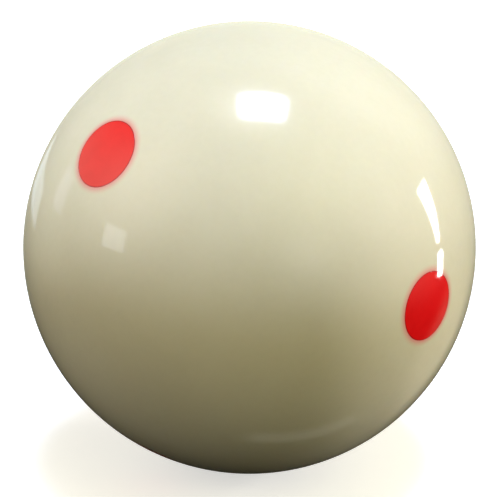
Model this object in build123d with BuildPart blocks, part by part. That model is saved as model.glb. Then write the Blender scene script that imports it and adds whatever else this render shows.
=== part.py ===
from build123d import *

import os

# Six-spot pool cue ball, in millimetres.
#
# The origin is the centre of the ball, +Z is up, and the ball rests on its lowest point.
# A cast resin ball holds six inlaid spots at the ends of three axes that cross at right
# angles. Each spot is a short round plug in a blind pocket, ground and polished together
# with the ball, so the plug's outer end is a piece of the ball's own sphere.

# The ball
ball_diameter = 57.15  # regulation 2 1/4 in
ball_radius = ball_diameter / 2

# The inlaid spots
spot_diameter = 8.2
spot_radius = spot_diameter / 2
spot_depth = 6.0  # from the sphere, on the spot's axis, down to the pocket's floor
floor_corner_radius = 0.6  # corner between the pocket's wall and its floor

# How the ball lies: its top spot leans away from +Z towards a heading measured from +X
# to +Y, and then the ball is turned about that spot's own axis
top_spot_heading = 40.7
top_spot_lean = 33.4
turn_about_top_spot = 5.7
spot_axes = Plane(
    Rotation(top_spot_heading, top_spot_lean, turn_about_top_spot, Intrinsic.ZYZ)
)

# The outward direction of each spot, named for where it lies on the resting ball
spot_directions = {
    "front_left_spot": -spot_axes.x_dir,
    "front_right_spot": -spot_axes.y_dir,
    "top_spot": spot_axes.z_dir,
    "back_right_spot": spot_axes.x_dir,
    "back_left_spot": spot_axes.y_dir,
    "bottom_spot": -spot_axes.z_dir,
}


def spot_seat(direction):
    """Return the plane of one pocket's floor, facing out of the ball."""
    return Plane(origin=direction * (ball_radius - spot_depth), z_dir=direction)


def make_spot(direction):
    """Return one plug: a round post with a softened inner end, cut off by the sphere."""
    with BuildPart() as spot:
        with BuildSketch(spot_seat(direction)):
            Circle(spot_radius)
        extrude(amount=spot_depth)
        inner_end = spot.edges().group_by(Axis((0, 0, 0), direction))[0]
        fillet(inner_end, radius=floor_corner_radius)
        Sphere(ball_radius, mode=Mode.INTERSECT)
    return spot.part


# The six plugs
spots = {name: make_spot(direction) for name, direction in spot_directions.items()}

# The cast ball: a sphere with one pocket of each plug's own shape
with BuildPart() as ball_body:
    Sphere(ball_radius)
    for spot in spots.values():
        add(spot, mode=Mode.SUBTRACT)
ball_body.part.label = "ball_body"

# One file for each piece
os.makedirs("parts", exist_ok=True)
export_step(ball_body.part, "parts/ball_body.step")
for name, spot in spots.items():
    spot.label = name
    export_step(spot, f"parts/{name}.step")
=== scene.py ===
"""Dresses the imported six-spot pool cue ball: its polished resin, its studio and its camera.

All lengths are in metres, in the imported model's own frame: the ball's centre is the origin,
+Z is up and -Y is the front. A heading is an angle round the ball, in degrees: 0 is the
front, and it grows towards +X. A height is an angle above the horizon, in degrees.
"""

import logging
import math
from dataclasses import dataclass
from enum import Enum

import bmesh
import bpy
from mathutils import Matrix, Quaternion, Vector


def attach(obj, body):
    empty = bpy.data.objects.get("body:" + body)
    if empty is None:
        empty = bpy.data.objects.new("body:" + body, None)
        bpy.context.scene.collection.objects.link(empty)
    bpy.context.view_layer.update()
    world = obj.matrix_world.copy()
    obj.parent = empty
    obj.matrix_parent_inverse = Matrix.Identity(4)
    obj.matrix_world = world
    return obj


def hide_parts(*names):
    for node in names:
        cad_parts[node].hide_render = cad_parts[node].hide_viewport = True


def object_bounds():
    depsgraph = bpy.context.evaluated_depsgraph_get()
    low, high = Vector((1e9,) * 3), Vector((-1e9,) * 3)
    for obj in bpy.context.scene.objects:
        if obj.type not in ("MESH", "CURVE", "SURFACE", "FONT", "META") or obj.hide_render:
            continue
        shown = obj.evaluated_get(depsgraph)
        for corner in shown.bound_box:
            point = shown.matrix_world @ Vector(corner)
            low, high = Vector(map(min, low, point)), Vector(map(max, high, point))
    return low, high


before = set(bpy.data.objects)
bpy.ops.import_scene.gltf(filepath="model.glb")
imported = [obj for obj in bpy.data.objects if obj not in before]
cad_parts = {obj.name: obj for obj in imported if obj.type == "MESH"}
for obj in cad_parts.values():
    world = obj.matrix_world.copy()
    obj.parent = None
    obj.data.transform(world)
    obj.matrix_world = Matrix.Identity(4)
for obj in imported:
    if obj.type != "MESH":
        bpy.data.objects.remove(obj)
cad_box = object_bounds()

LOG = logging.getLogger("cue_ball")
MILLIMETRE = 0.001

Colour = tuple[float, float, float]


def direction_of(heading: float, height: float) -> Vector:
    """Return the unit vector that points from the ball at a heading and a height.

    Args:
        heading: Angle round the ball in degrees, 0 at the front and growing towards +X.
        height: Angle above the horizon in degrees.

    Returns:
        The unit vector.
    """
    turn = math.radians(heading)
    rise = math.radians(height)
    level = math.cos(rise)
    return Vector((level * math.sin(turn), -level * math.cos(turn), math.sin(rise)))


# ---------------------------------------------------------------------------
# Node wiring
# ---------------------------------------------------------------------------


@dataclass
class Wiring:
    """Adds shader nodes to one tree and joins them.

    Attributes:
        tree: The node tree of a material or of the world.
    """

    tree: bpy.types.NodeTree

    def node(self, kind: str, **settings: object) -> bpy.types.Node:
        """Add a node.

        Args:
            kind: The node's type name.
            **settings: Properties to set on the node.

        Returns:
            The new node.
        """
        made = self.tree.nodes.new(kind)
        for name, value in settings.items():
            setattr(made, name, value)
        return made

    def feed(self, socket: bpy.types.NodeSocket, value: object) -> None:
        """Give a socket its value.

        Args:
            socket: The input socket.
            value: An output socket to link, or a plain value to set.
        """
        if isinstance(value, bpy.types.NodeSocket):
            self.tree.links.new(value, socket)
        else:
            socket.default_value = value

    def math(self, operation: str, *values: object, clamp: bool = False) -> bpy.types.NodeSocket:
        """Join one math node.

        Args:
            operation: The math operation.
            *values: The operands, as sockets or numbers.
            clamp: Whether the result is held between 0 and 1.

        Returns:
            The result.
        """
        made = self.node("ShaderNodeMath", operation=operation, use_clamp=clamp)
        for socket, value in zip(made.inputs, values):
            self.feed(socket, value)
        return made.outputs["Value"]

    def vector(self, operation: str, *values: object) -> bpy.types.Node:
        """Join one vector math node.

        Args:
            operation: The vector operation.
            *values: The operands, as sockets or triples.

        Returns:
            The node, whose outputs are Vector and Value.
        """
        made = self.node("ShaderNodeVectorMath", operation=operation)
        for socket, value in zip(made.inputs, values):
            self.feed(socket, value)
        return made

    def dot(self, vector: object, axis: Vector) -> bpy.types.NodeSocket:
        """Return how far a vector reaches along an axis."""
        return self.vector("DOT_PRODUCT", vector, tuple(axis)).outputs["Value"]

    def scaled(self, colour: object, factor: object) -> bpy.types.NodeSocket:
        """Return a colour times a factor.

        Args:
            colour: A triple or a vector socket.
            factor: A number or a socket.

        Returns:
            The scaled colour, as a vector.
        """
        made = self.node("ShaderNodeVectorMath", operation="SCALE")
        self.feed(made.inputs["Vector"], colour)
        self.feed(made.inputs["Scale"], factor)
        return made.outputs["Vector"]

    def fade(self, value: object, none_at: float, full_at: float) -> bpy.types.NodeSocket:
        """Return a soft step from 0 to 1.

        Args:
            value: What is measured.
            none_at: The value at which the result is 0.
            full_at: The value at which the result is 1.

        Returns:
            The step.
        """
        made = self.node("ShaderNodeMapRange", interpolation_type="SMOOTHSTEP")
        self.feed(made.inputs["Value"], value)
        made.inputs["From Min"].default_value = none_at
        made.inputs["From Max"].default_value = full_at
        return made.outputs["Result"]

    def ranged(self, value: object, low: float, high: float) -> bpy.types.NodeSocket:
        """Return a value from 0 to 1 stretched from low to high."""
        made = self.node("ShaderNodeMapRange")
        self.feed(made.inputs["Value"], value)
        made.inputs["To Min"].default_value = low
        made.inputs["To Max"].default_value = high
        return made.outputs["Result"]

    def mixed(self, factor: object, first: object, second: object) -> bpy.types.NodeSocket:
        """Mix two colours.

        Args:
            factor: The second colour's share.
            first: The colour at a share of 0.
            second: The colour at a share of 1.

        Returns:
            The mixed colour.
        """
        made = self.node("ShaderNodeMix", data_type="RGBA")
        self.feed(made.inputs[0], factor)
        self.feed(made.inputs[6], first)
        self.feed(made.inputs[7], second)
        return made.outputs[2]

    def object_space(
        self,
        turn: Colour = (0.0, 0.0, 0.0),
        stretch: Colour = (1.0, 1.0, 1.0),
    ) -> bpy.types.NodeSocket:
        """Return the piece's own coordinates, turned and stretched for a pattern.

        Args:
            turn: Turn about X, Y and Z in degrees.
            stretch: Factor along each turned axis.

        Returns:
            The coordinates.
        """
        own = self.node("ShaderNodeTexCoord")
        mapping = self.node("ShaderNodeMapping", vector_type="POINT")
        self.feed(mapping.inputs["Vector"], own.outputs["Object"])
        mapping.inputs["Rotation"].default_value = [math.radians(angle) for angle in turn]
        mapping.inputs["Scale"].default_value = stretch
        return mapping.outputs["Vector"]

    def noise(
        self,
        place: bpy.types.NodeSocket,
        size: float,
        detail: float = 2.0,
        roughness: float = 0.5,
        distortion: float = 0.0,
    ) -> bpy.types.NodeSocket:
        """Return a noise pattern from 0 to 1.

        Args:
            place: The coordinates that it follows.
            size: The length of one patch in metres.
            detail: How many finer layers lie on it.
            roughness: How strong the finer layers are.
            distortion: How far the pattern is stirred.

        Returns:
            The pattern.
        """
        made = self.node("ShaderNodeTexNoise")
        self.feed(made.inputs["Vector"], place)
        made.inputs["Scale"].default_value = 1.0 / size
        made.inputs["Detail"].default_value = detail
        made.inputs["Roughness"].default_value = roughness
        made.inputs["Distortion"].default_value = distortion
        return made.outputs["Fac"]


def fresh_material(name: str) -> tuple[bpy.types.Material, Wiring, bpy.types.Node]:
    """Start a material with one Principled shader.

    Args:
        name: The material's name.

    Returns:
        The material, its wiring and its shader node.
    """
    material = bpy.data.materials.new(name)
    material.use_nodes = True
    material.node_tree.nodes.clear()
    wiring = Wiring(material.node_tree)
    shader = wiring.node("ShaderNodeBsdfPrincipled")
    output = wiring.node("ShaderNodeOutputMaterial")
    wiring.feed(output.inputs["Surface"], shader.outputs["BSDF"])
    return material, wiring, shader


# ---------------------------------------------------------------------------
# Finishes
# ---------------------------------------------------------------------------


@dataclass(frozen=True)
class ResinPolish:
    """How cast phenolic resin is polished: its gloss, its fine haze and its hairline marks.

    Attributes:
        roughness: Roughness of the clean polish.
        haze: How much more roughness the dullest patches have.
        haze_patch: Size of a dull patch.
        mark_roughness: How much more roughness a hairline mark has.
        mark_depth: Depth of a hairline mark.
        mark_spacing: Distance between neighbouring marks.
        mark_stretch: A mark's length over its spacing.
        mark_patch: Size of a patch that holds marks.
        ripple: Height of the soft ripple that the buffing wheel leaves.
        ripple_length: Length of that ripple.
        ior: Refractive index of the resin.
    """

    roughness: float = 0.045
    haze: float = 0.025
    haze_patch: float = 9.0 * MILLIMETRE
    mark_roughness: float = 0.10
    mark_depth: float = 0.0008 * MILLIMETRE
    mark_spacing: float = 0.30 * MILLIMETRE
    mark_stretch: float = 24.0
    mark_patch: float = 6.0 * MILLIMETRE
    ripple: float = 0.0006 * MILLIMETRE
    ripple_length: float = 2.4 * MILLIMETRE
    ior: float = 1.58

    MARK_TURNS = ((12.0, 31.0, 5.0), (74.0, -22.0, 48.0), (-38.0, 63.0, 110.0))
    LINE_FADE = (0.66, 0.74)
    PATCH_FADE = (0.46, 0.66)

    def marks(self, wiring: Wiring) -> bpy.types.NodeSocket:
        """Return a mask of sparse hairline marks in three directions.

        Args:
            wiring: The material's wiring.

        Returns:
            A mask that is 1 on a mark.
        """
        total: object = 0.0
        for turn in self.MARK_TURNS:
            squeeze = 1.0 / self.mark_stretch
            place = wiring.object_space(turn, (1.0, squeeze, squeeze))
            streaks = wiring.noise(place, self.mark_spacing, detail=1.0)
            lines = wiring.fade(streaks, *self.LINE_FADE)
            total = wiring.math("MAXIMUM", total, lines)
        patches = wiring.noise(wiring.object_space((20.0, 0.0, 65.0)), self.mark_patch)
        return wiring.math("MULTIPLY", total, wiring.fade(patches, *self.PATCH_FADE))

    def dress(self, wiring: Wiring, shader: bpy.types.Node) -> None:
        """Wire the gloss, haze, marks and ripple to a shader.

        Args:
            wiring: The material's wiring.
            shader: The Principled shader.
        """
        marks = self.marks(wiring)
        dull = wiring.noise(wiring.object_space((0.0, 40.0, 15.0)), self.haze_patch, detail=3.0)
        clean = wiring.ranged(dull, self.roughness, self.roughness + self.haze)
        worn = wiring.math("MULTIPLY", marks, self.mark_roughness)
        wiring.feed(shader.inputs["Roughness"], wiring.math("ADD", clean, worn))

        ripple = wiring.noise(wiring.object_space((0.0, 0.0, 33.0)), self.ripple_length, detail=1.0)
        hills = wiring.math("MULTIPLY", ripple, self.ripple)
        cuts = wiring.math("MULTIPLY", marks, self.mark_depth)
        bump = wiring.node("ShaderNodeBump")
        bump.inputs["Strength"].default_value = 1.0
        bump.inputs["Distance"].default_value = 1.0
        wiring.feed(bump.inputs["Height"], wiring.math("SUBTRACT", hills, cuts))
        wiring.feed(shader.inputs["Normal"], bump.outputs["Normal"])
        shader.inputs["IOR"].default_value = self.ior


@dataclass(frozen=True)
class CreamResin:
    """The ball's cream phenolic resin, tinted pink where it meets the red spots.

    Attributes:
        polish: The resin's polish.
        pale: The lightest cream.
        deep: The deepest cream.
        tint: The pink at a spot's very edge.
        tint_reach: How far the pink reaches from the spot.
        tint_strength: The pink's share at the edge.
        cloud: Size of the cast resin's soft clouds.
        grain: Size of the resin's fine mottling.
        grain_share: The mottling's share of the pattern.
        tint_fall: How fast the pink fades away from a spot.
        glow: Share of the light that goes through the resin.
        depth: How far that light travels.
    """

    polish: ResinPolish = ResinPolish()
    pale: Colour = (0.860, 0.808, 0.600)
    deep: Colour = (0.820, 0.768, 0.560)
    tint: Colour = (0.920, 0.300, 0.260)
    tint_reach: float = 0.95 * MILLIMETRE
    tint_strength: float = 0.95
    cloud: float = 14.0 * MILLIMETRE
    grain: float = 0.8 * MILLIMETRE
    grain_share: float = 0.25
    tint_fall: float = 1.8
    glow: float = 0.12
    depth: float = 0.8 * MILLIMETRE

    def material(self, axes: list[Vector], spot_radius: float) -> bpy.types.Material:
        """Make the cream resin.

        Args:
            axes: The directions of the spots' axes, one for each pair of spots.
            spot_radius: The spots' radius.

        Returns:
            The material.
        """
        material, wiring, shader = fresh_material("cream_resin")
        clouds = wiring.noise(wiring.object_space(), self.cloud, detail=3.0, distortion=0.8)
        grains = wiring.noise(wiring.object_space((0.0, 25.0, 0.0)), self.grain, detail=2.0)
        coarse = wiring.math("MULTIPLY", clouds, 1.0 - self.grain_share)
        fine = wiring.math("MULTIPLY", grains, self.grain_share)
        share = wiring.math("ADD", coarse, fine)
        cream = wiring.mixed(wiring.fade(share, 0.3, 0.7), (*self.pale, 1.0), (*self.deep, 1.0))
        halo = wiring.math("MULTIPLY", self.nearness(wiring, axes, spot_radius), self.tint_strength)
        wiring.feed(shader.inputs["Base Color"], wiring.mixed(halo, cream, (*self.tint, 1.0)))
        shader.inputs["Subsurface Weight"].default_value = self.glow
        shader.inputs["Subsurface Radius"].default_value = (1.0, 0.7, 0.35)
        shader.inputs["Subsurface Scale"].default_value = self.depth
        self.polish.dress(wiring, shader)
        return material

    def nearness(self, wiring: Wiring, axes: list[Vector], spot_radius: float) -> bpy.types.NodeSocket:
        """Return how near a point is to the edge of the nearest spot.

        Args:
            wiring: The material's wiring.
            axes: The directions of the spots' axes, one for each pair of spots.
            spot_radius: The spots' radius.

        Returns:
            A mask that is 1 at a spot's edge and 0 past the pink's reach.
        """
        own = wiring.object_space()
        total: object = 0.0
        for axis in axes:
            along = wiring.scaled(tuple(axis), wiring.dot(own, axis))
            across = wiring.vector("SUBTRACT", own, along).outputs["Vector"]
            distance = wiring.vector("LENGTH", across).outputs["Value"]
            past = wiring.math("SUBTRACT", distance, spot_radius)
            share = wiring.math("DIVIDE", past, self.tint_reach)
            near = wiring.math("SUBTRACT", 1.0, share, clamp=True)
            total = wiring.math("MAXIMUM", total, near)
        return wiring.math("POWER", total, self.tint_fall)


@dataclass(frozen=True)
class RedResin:
    """The inlaid spots' red phenolic resin.

    Attributes:
        polish: The resin's polish.
        bright: The red over most of a spot.
        deep: The red of its deeper clouds.
        rim: The dark red line at a spot's edge.
        rim_width: Width of that line.
        cloud: Size of the clouds.
        glow: Share of the light that goes through the resin.
        depth: How far that light travels.
    """

    polish: ResinPolish = ResinPolish()
    bright: Colour = (0.990, 0.010, 0.012)
    deep: Colour = (0.940, 0.008, 0.010)
    rim: Colour = (0.560, 0.006, 0.012)
    rim_width: float = 0.16 * MILLIMETRE
    cloud: float = 2.5 * MILLIMETRE
    glow: float = 0.08
    depth: float = 0.6 * MILLIMETRE

    def material(self, seat: "SpotSeat") -> bpy.types.Material:
        """Make the red resin of one spot.

        Args:
            seat: Where the spot sits in the ball.

        Returns:
            The material.
        """
        material, wiring, shader = fresh_material(f"red_resin_{seat.node}")
        clouds = wiring.noise(wiring.object_space(), self.cloud, detail=3.0, distortion=0.6)
        red = wiring.mixed(wiring.fade(clouds, 0.3, 0.7), (*self.bright, 1.0), (*self.deep, 1.0))
        own = wiring.object_space()
        along = wiring.scaled(tuple(seat.axis), wiring.dot(own, seat.axis))
        across = wiring.vector("SUBTRACT", own, along).outputs["Vector"]
        distance = wiring.vector("LENGTH", across).outputs["Value"]
        edge = wiring.fade(distance, seat.radius - self.rim_width, seat.radius - 0.3 * self.rim_width)
        wiring.feed(shader.inputs["Base Color"], wiring.mixed(edge, red, (*self.rim, 1.0)))
        shader.inputs["Subsurface Weight"].default_value = self.glow
        shader.inputs["Subsurface Radius"].default_value = (1.0, 0.15, 0.1)
        shader.inputs["Subsurface Scale"].default_value = self.depth
        self.polish.dress(wiring, shader)
        return material


@dataclass(frozen=True)
class PaleFloor:
    """A plain pale floor with a very faint unevenness, which glows a little, like a light table.

    Attributes:
        light: The lighter tone.
        dark: The darker tone.
        patch: Size of one patch.
        glow: Its own light.
    """

    light: Colour = (0.900, 0.900, 0.890)
    dark: Colour = (0.885, 0.885, 0.875)
    patch: float = 90.0 * MILLIMETRE
    glow: float = 0.55

    def material(self) -> bpy.types.Material:
        """Make the floor's finish."""
        material, wiring, shader = fresh_material("pale_floor")
        tone = wiring.noise(wiring.object_space(), self.patch, detail=2.0)
        colour = wiring.mixed(tone, (*self.light, 1.0), (*self.dark, 1.0))
        wiring.feed(shader.inputs["Base Color"], colour)
        shader.inputs["Roughness"].default_value = 1.0
        shader.inputs["Specular IOR Level"].default_value = 0.0
        shader.inputs["Emission Color"].default_value = (1.0, 1.0, 1.0, 1.0)
        shader.inputs["Emission Strength"].default_value = self.glow
        return material


# ---------------------------------------------------------------------------
# The ball and its spots
# ---------------------------------------------------------------------------


@dataclass(frozen=True)
class SpotSeat:
    """Where one inlaid spot sits in the ball.

    Attributes:
        node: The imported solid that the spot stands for.
        axis: Unit vector from the ball's centre through the spot's middle.
        radius: The spot's radius.
        floor: Height of the pocket's floor over the ball's centre, along the axis.
    """

    node: str
    axis: Vector
    radius: float
    floor: float

    @classmethod
    def from_node(cls, node: str) -> "SpotSeat":
        """Measure a spot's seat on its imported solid.

        Args:
            node: The solid's name.

        Returns:
            The seat.
        """
        solid = bmesh.new()
        solid.from_mesh(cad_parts[node].data)
        middle = Vector()
        for face in solid.faces:
            middle += face.calc_center_median() * face.calc_area()
        axis = middle.normalized()
        heights = [vertex.co.dot(axis) for vertex in solid.verts]
        radii = [(vertex.co - axis * height).length for vertex, height in zip(solid.verts, heights)]
        solid.free()
        return cls(node, axis, max(radii), min(heights))


@dataclass
class Ring:
    """A closed ring of edges round a spot's axis, which grows a wall step by step.

    Attributes:
        mesh: The mesh that the ring belongs to.
        seat: The spot's seat.
        edges: The ring's edges.
        radius: The ring's radius.
        height: The ring's height along the axis.
    """

    mesh: bmesh.types.BMesh
    seat: SpotSeat
    edges: list[bmesh.types.BMEdge]
    radius: float
    height: float

    def settle(self, vertices: list[bmesh.types.BMVert]) -> None:
        """Move vertices onto the ring's exact circle, each along its own radius.

        Args:
            vertices: The vertices near the circle.
        """
        for vertex in vertices:
            along = vertex.co.dot(self.seat.axis)
            across = (vertex.co - self.seat.axis * along).normalized()
            vertex.co = self.seat.axis * self.height + across * self.radius

    def step_to(self, radius: float, height: float) -> None:
        """Extrude the ring to a new radius and height.

        Args:
            radius: The new radius.
            height: The new height along the axis.
        """
        made = bmesh.ops.extrude_edge_only(self.mesh, edges=self.edges)["geom"]
        vertices = [part for part in made if isinstance(part, bmesh.types.BMVert)]
        outer = set(vertices)
        edges = [part for part in made if isinstance(part, bmesh.types.BMEdge)]
        self.edges = [edge for edge in edges if outer.issuperset(edge.verts)]
        self.radius = radius
        self.height = height
        self.settle(vertices)

    def close(self) -> None:
        """Fill the ring with one flat face."""
        bmesh.ops.contextual_create(self.mesh, geom=self.edges)


class SideKept(Enum):
    """Which side of a spot's rim is kept when the sphere is cut."""

    BALL = "ball"
    SPOT = "spot"


@dataclass(frozen=True)
class GroundSphere:
    """The one sphere that the ball and its spots are ground to.

    Attributes:
        radius: The ball's radius.
        finest: Subdivision level of the sphere's mesh.
        seam: Depth and half width of the hairline seam round a spot.
        corner: Radius of the corner between a pocket's wall and its floor.
        corner_steps: Steps in that corner.
        lip_middle: How far down the rounded lip its middle ring lies, from 0 to 1.
        sliver: Vertices of a cut nearer than this are merged.
        band: How near to a cut's plane its vertices are looked for.
    """

    radius: float
    finest: int = 7
    seam: float = 0.024 * MILLIMETRE
    corner: float = 0.6 * MILLIMETRE
    corner_steps: int = 4
    lip_middle: float = 0.3
    sliver: float = 0.04 * MILLIMETRE
    band: float = 0.16 * MILLIMETRE

    def height_at(self, radius: float) -> float:
        """Return how high over the ball's centre the sphere is, a radius away from an axis."""
        return math.sqrt(self.radius**2 - radius**2)

    def whole(self) -> bmesh.types.BMesh:
        """Return the whole sphere as a fresh mesh."""
        mesh = bmesh.new()
        bmesh.ops.create_icosphere(mesh, subdivisions=self.finest, radius=self.radius)
        return mesh

    def cut(self, mesh: bmesh.types.BMesh, seat: SpotSeat, rim: float, kept: SideKept) -> Ring:
        """Cut the sphere along a spot's rim and keep one side.

        Args:
            mesh: The sphere's mesh.
            seat: The spot's seat.
            rim: The rim's radius.
            kept: The side that stays.

        Returns:
            The rim, as a ring.
        """
        height = self.height_at(rim)
        bmesh.ops.bisect_plane(
            mesh,
            geom=mesh.verts[:] + mesh.edges[:] + mesh.faces[:],
            dist=self.sliver / 10,
            plane_co=seat.axis * height,
            plane_no=seat.axis,
            clear_outer=kept is SideKept.BALL,
            clear_inner=kept is SideKept.SPOT,
        )
        near = [
            vertex for vertex in mesh.verts
            if abs(vertex.co.dot(seat.axis) - height) < self.band
        ]
        bmesh.ops.remove_doubles(mesh, verts=near, dist=self.sliver)
        edges = [
            edge for edge in mesh.edges
            if edge.is_boundary and abs(edge.verts[0].co.dot(seat.axis) - height) < self.band
        ]
        ring = Ring(mesh, seat, edges, rim, height)
        ring.settle(list({vertex for edge in edges for vertex in edge.verts}))
        return ring

    def line_pocket(self, ring: Ring, seat: SpotSeat) -> None:
        """Grow a spot's wall, corner and floor from its rim.

        Args:
            ring: The rim.
            seat: The spot's seat.
        """
        lip = self.height_at(seat.radius) - self.seam
        down = self.lip_middle
        ring.step_to(
            down * ring.radius + (1 - down) * seat.radius,
            (1 - down) * ring.height + down * lip,
        )
        ring.step_to(seat.radius, lip)
        for step in range(self.corner_steps + 1):
            turn = 0.5 * math.pi * step / self.corner_steps
            radius = seat.radius - self.corner * (1 - math.cos(turn))
            ring.step_to(radius, seat.floor + self.corner * (1 - math.sin(turn)))
        ring.close()

    def finished(self, mesh: bmesh.types.BMesh, name: str) -> bpy.types.Object:
        """Turn a closed mesh into a piece whose polished skin reflects as one true sphere.

        Args:
            mesh: The closed mesh, which is freed.
            name: The piece's name.

        Returns:
            The piece, linked to the scene.
        """
        bmesh.ops.recalc_face_normals(mesh, faces=mesh.faces[:])
        skin = 0.1 * self.seam
        for face in mesh.faces:
            face.smooth = len(face.verts) <= 4
        data = bpy.data.meshes.new(name)
        mesh.to_mesh(data)
        mesh.free()
        own_normal = Vector()
        normals: list[Vector] = []
        for polygon in data.polygons:
            corners = [data.vertices[index].co for index in polygon.vertices]
            polished = all(abs(corner.length - self.radius) < skin for corner in corners)
            normals += [corner.normalized() if polished else own_normal for corner in corners]
        data.normals_split_custom_set(normals)
        piece = bpy.data.objects.new(name, data)
        bpy.context.scene.collection.objects.link(piece)
        return piece


@dataclass(frozen=True)
class ResinBall:
    """The cream casting: the sphere with a blind pocket at each spot.

    Attributes:
        sphere: The sphere that the ball is ground to.
        seats: The spots' seats.
        finish: The ball's resin.
    """

    sphere: GroundSphere
    seats: list[SpotSeat]
    finish: CreamResin = CreamResin()

    def build(self) -> bpy.types.Object:
        """Make the casting, dress it and hang it on the frame.

        Returns:
            The finished piece.
        """
        mesh = self.sphere.whole()
        for seat in self.seats:
            ring = self.sphere.cut(mesh, seat, seat.radius + self.sphere.seam, SideKept.BALL)
            self.sphere.line_pocket(ring, seat)
        piece = self.sphere.finished(mesh, "cream_casting")
        piece.data.materials.append(self.finish.material(self.spot_axes(), self.seats[0].radius))
        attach(piece, "root")
        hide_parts("ball_body")
        return piece

    def spot_axes(self) -> list[Vector]:
        """Return one direction for each pair of opposite spots."""
        axes: list[Vector] = []
        for seat in self.seats:
            if all(abs(seat.axis.dot(axis)) < 0.5 for axis in axes):
                axes.append(seat.axis)
        return axes


@dataclass(frozen=True)
class InlaidSpot:
    """One red plug, ground flush with the ball.

    Attributes:
        sphere: The sphere that the plug is ground to.
        seat: Where the plug sits.
        finish: The plug's resin.
    """

    sphere: GroundSphere
    seat: SpotSeat
    finish: RedResin = RedResin()

    def build(self) -> bpy.types.Object:
        """Make the plug, dress it and hang it on the frame.

        Returns:
            The finished piece.
        """
        mesh = self.sphere.whole()
        ring = self.sphere.cut(mesh, self.seat, self.seat.radius - self.sphere.seam, SideKept.SPOT)
        self.sphere.line_pocket(ring, self.seat)
        piece = self.sphere.finished(mesh, f"{self.seat.node}_inlay")
        piece.data.materials.append(self.finish.material(self.seat))
        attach(piece, "root")
        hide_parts(self.seat.node)
        return piece


# ---------------------------------------------------------------------------
# The studio
# ---------------------------------------------------------------------------


@dataclass(frozen=True)
class Glow:
    """A soft light that fades evenly away from its middle.

    Attributes:
        heading: The middle's heading.
        height: The middle's height.
        focus: How fast it fades: the power of the cosine of the angle from the middle.
        colour: Its radiance.
    """

    heading: float
    height: float
    focus: float
    colour: Colour

    def light(self, wiring: Wiring, ray: bpy.types.NodeSocket) -> bpy.types.NodeSocket:
        """Return the glow's light along a ray."""
        cosine = wiring.math("MAXIMUM", wiring.dot(ray, direction_of(self.heading, self.height)), 0.0)
        return wiring.scaled(self.colour, wiring.math("POWER", cosine, self.focus))


@dataclass(frozen=True)
class SoftBox:
    """A flat light with soft edges, which shows as a highlight on the polished ball.

    Attributes:
        heading: The middle's heading.
        height: The middle's height.
        width: Its width as the ball sees it, in degrees.
        tall: Its height as the ball sees it, in degrees.
        colour: Its radiance.
        softness: How far its edges fade, in degrees.
        roll: How far it is turned about its own middle, in degrees.
        taper: Length of its lower edge over its upper one's.
    """

    heading: float
    height: float
    width: float
    tall: float
    colour: Colour
    softness: float = 1.0
    roll: float = 0.0
    taper: float = 1.0

    def corners(self) -> list[Vector]:
        """Return the directions of the four corners, in order round the box."""
        middle = direction_of(self.heading, self.height)
        side = direction_of(self.heading + 90.0, 0.0)
        side.rotate(Quaternion(middle, math.radians(self.roll)))
        reach = side * math.tan(math.radians(self.width / 2))
        rise = middle.cross(side) * math.tan(math.radians(self.tall / 2))
        upper = [middle - reach + rise, middle + reach + rise]
        return upper + [middle + reach * self.taper - rise, middle - reach * self.taper - rise]

    def mask(self, wiring: Wiring, ray: bpy.types.NodeSocket) -> bpy.types.NodeSocket:
        """Return where a ray meets the box.

        Args:
            wiring: The world's wiring.
            ray: The ray's direction.

        Returns:
            A mask that is 1 on the box.
        """
        points = self.corners()
        soft = math.sin(math.radians(self.softness))
        inside: object = 1.0
        for point, after in zip(points, points[1:] + points[:1]):
            plane = after.cross(point).normalized()
            inside = wiring.math("MULTIPLY", inside, wiring.fade(wiring.dot(ray, plane), -soft, soft))
        return inside


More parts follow.
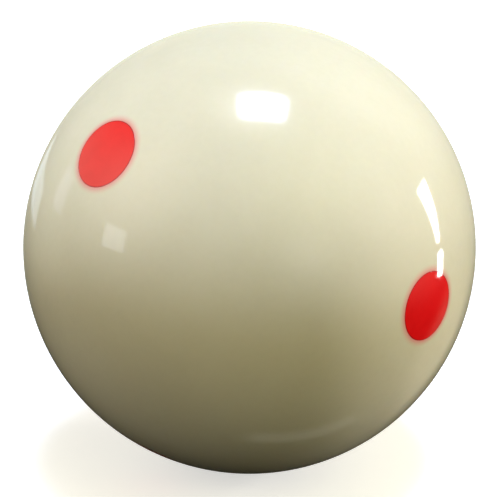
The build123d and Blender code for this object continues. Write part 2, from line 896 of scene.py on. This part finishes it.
@dataclass(frozen=True)
class Studio:
    """The light round the ball, the pale floor under it and the pale backdrop.

    Attributes:
        even: Radiance that comes from everywhere.
        backdrop: What the camera sees past the floor.
        floor_half: Half the floor's side.
        glows: The soft lights.
        boxes: The lights with edges.
        table_dark: Share of the light that the table holds back.
        table_from: Height at which the table's shade begins, in degrees.
        table_full: Height at which it is complete, in degrees.
    """

    even: Colour
    backdrop: Colour
    floor_half: float
    glows: tuple[Glow, ...]
    boxes: tuple[SoftBox, ...]
    table_dark: float = 0.9
    table_from: float = -10.0
    table_full: float = -25.0

    def light_world(self) -> None:
        """Wire the world's light and the backdrop."""
        world = bpy.data.worlds.new("studio")
        bpy.context.scene.world = world
        world.use_nodes = True
        world.node_tree.nodes.clear()
        wiring = Wiring(world.node_tree)
        ray = wiring.node("ShaderNodeTexCoord").outputs["Generated"]
        light: object = self.even
        for glow in self.glows:
            light = wiring.vector("ADD", light, glow.light(wiring, ray)).outputs["Vector"]
        height = wiring.dot(ray, Vector((0.0, 0.0, 1.0)))
        darkest = math.sin(math.radians(self.table_full))
        clear = math.sin(math.radians(self.table_from))
        open_sky = wiring.fade(height, darkest, clear)
        light = wiring.scaled(light, wiring.ranged(open_sky, 1.0 - self.table_dark, 1.0))
        for box in self.boxes:
            shine = wiring.scaled(box.colour, box.mask(wiring, ray))
            light = wiring.vector("ADD", light, shine).outputs["Vector"]
        path = wiring.node("ShaderNodeLightPath")
        seen = wiring.mixed(path.outputs["Is Camera Ray"], light, (*self.backdrop, 1.0))
        background = wiring.node("ShaderNodeBackground")
        wiring.feed(background.inputs["Color"], seen)
        output = wiring.node("ShaderNodeOutputWorld")
        wiring.feed(output.inputs["Surface"], background.outputs["Background"])
        world.cycles.sampling_method = "MANUAL"
        world.cycles.sample_map_resolution = 1024

    def lay_floor(self, height: float) -> bpy.types.Object:
        """Lay the floor, which takes the ball's shadow but sends no light back to it.

        Args:
            height: The floor's height.

        Returns:
            The floor.
        """
        mesh = bmesh.new()
        bmesh.ops.create_grid(mesh, x_segments=1, y_segments=1, size=self.floor_half)
        bmesh.ops.translate(mesh, vec=(0.0, 0.0, height), verts=mesh.verts)
        data = bpy.data.meshes.new("floor")
        mesh.to_mesh(data)
        mesh.free()
        floor = bpy.data.objects.new("floor", data)
        bpy.context.scene.collection.objects.link(floor)
        data.materials.append(PaleFloor().material())
        floor.visible_diffuse = False
        floor.visible_glossy = False
        floor.visible_shadow = False
        return floor


@dataclass(frozen=True)
class BallCamera:
    """The camera, which looks a little down at the ball from close by.

    Attributes:
        distance: Its distance from the ball's centre, in ball radii.
        height: Its height, in degrees.
        fill: The ball's outline over the picture's width.
        sensor: The sensor's width in millimetres.
        shift: How far the picture is shifted, over its width.
    """

    distance: float = 5.6
    height: float = 15.0
    fill: float = 0.906
    sensor: float = 36.0
    shift: tuple[float, float] = (0.001, -0.0022)

    def place(self, radius: float) -> bpy.types.Object:
        """Put the camera in front of the ball.

        Args:
            radius: The ball's radius.

        Returns:
            The camera.
        """
        data = bpy.data.cameras.new("camera")
        data.sensor_width = self.sensor
        data.lens = 0.5 * self.fill * self.sensor * math.sqrt(self.distance**2 - 1)
        data.shift_x, data.shift_y = self.shift
        data.clip_start = 0.2 * radius
        data.clip_end = 100.0
        camera = bpy.data.objects.new("camera", data)
        out = direction_of(0.0, self.height)
        camera.location = out * self.distance * radius
        camera.rotation_euler = out.to_track_quat("Z", "Y").to_euler()
        bpy.context.scene.collection.objects.link(camera)
        bpy.context.scene.camera = camera
        return camera


STUDIO = Studio(
    even=(0.0, 0.0, 0.0),
    backdrop=(1.0, 1.0, 1.0),
    floor_half=40.0,
    glows=(
        # Ceiling
        Glow(20.0, 85.0, 40.0, (3.5, 3.5, 3.5)),
        Glow(35.0, 40.0, 8.0, (1.7, 1.6, 0.9)),
        # Front, right, left and back walls
        Glow(30.0, 10.0, 40.0, (0.9, 0.9, 0.8)),
        Glow(80.0, 5.0, 10.0, (0.7, 0.6, 0.5)),
        Glow(-70.0, 30.0, 10.0, (1.8, 1.6, 1.3)),
        Glow(-115.0, 10.0, 8.0, (1.0, 1.0, 0.8)),
        Glow(180.0, 5.0, 8.0, (0.9, 0.9, 0.7)),
    ),
    boxes=(
        # Overhead lamp
        SoftBox(60.0, 84.0, 15.0, 13.0, (26.0, 32.0, 48.0), softness=4.0, roll=-60.0),
        # Window on the right: an upper pane that narrows downwards, and a short pane
        SoftBox(105.0, 7.0, 9.0, 18.0, (60.0, 58.0, 55.0), taper=0.2),
        SoftBox(106.0, -9.0, 4.0, 7.0, (40.0, 40.0, 40.0), softness=0.5),
        # Pale reflectors on the left
        SoftBox(-70.0, 9.0, 13.0, 9.0, (1.8, 1.9, 2.1), softness=0.5),
        SoftBox(-115.0, 10.0, 10.0, 12.0, (0.6, 0.6, 0.8)),
        SoftBox(-145.0, -3.0, 22.0, 8.0, (0.6, 0.7, 0.8)),
        # The table's lit parts: far out on the right, and beside the ball's foot
        SoftBox(130.0, -30.0, 30.0, 25.0, (0.4, 0.35, 0.25), softness=7.0),
        SoftBox(115.0, -74.0, 8.0, 32.0, (0.3, 0.3, 0.25), softness=3.0),
    ),
)


def main() -> None:
    """Build the ball, its spots and the studio in order, and report each piece."""
    logging.basicConfig(level=logging.INFO, format="%(name)s: %(message)s")
    bpy.context.scene.view_settings.view_transform = "Standard"

    lowest, highest = cad_box
    radius = (highest[2] - lowest[2]) / 2
    spot_nodes = sorted(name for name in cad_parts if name.endswith("_spot"))
    seats = [SpotSeat.from_node(name) for name in spot_nodes]
    sphere = GroundSphere(radius)
    for seat in seats:
        LOG.info("%s: seat radius %.6f, floor %.6f", seat.node, seat.radius, seat.floor)

    ball = ResinBall(sphere, seats).build()
    LOG.info("%s: %d faces", ball.name, len(ball.data.polygons))
    for seat in seats:
        spot = InlaidSpot(sphere, seat).build()
        LOG.info("%s: %d faces", spot.name, len(spot.data.polygons))

    STUDIO.light_world()
    STUDIO.lay_floor(lowest[2])
    BallCamera().place(radius)


if __name__ == "__main__":
    main()
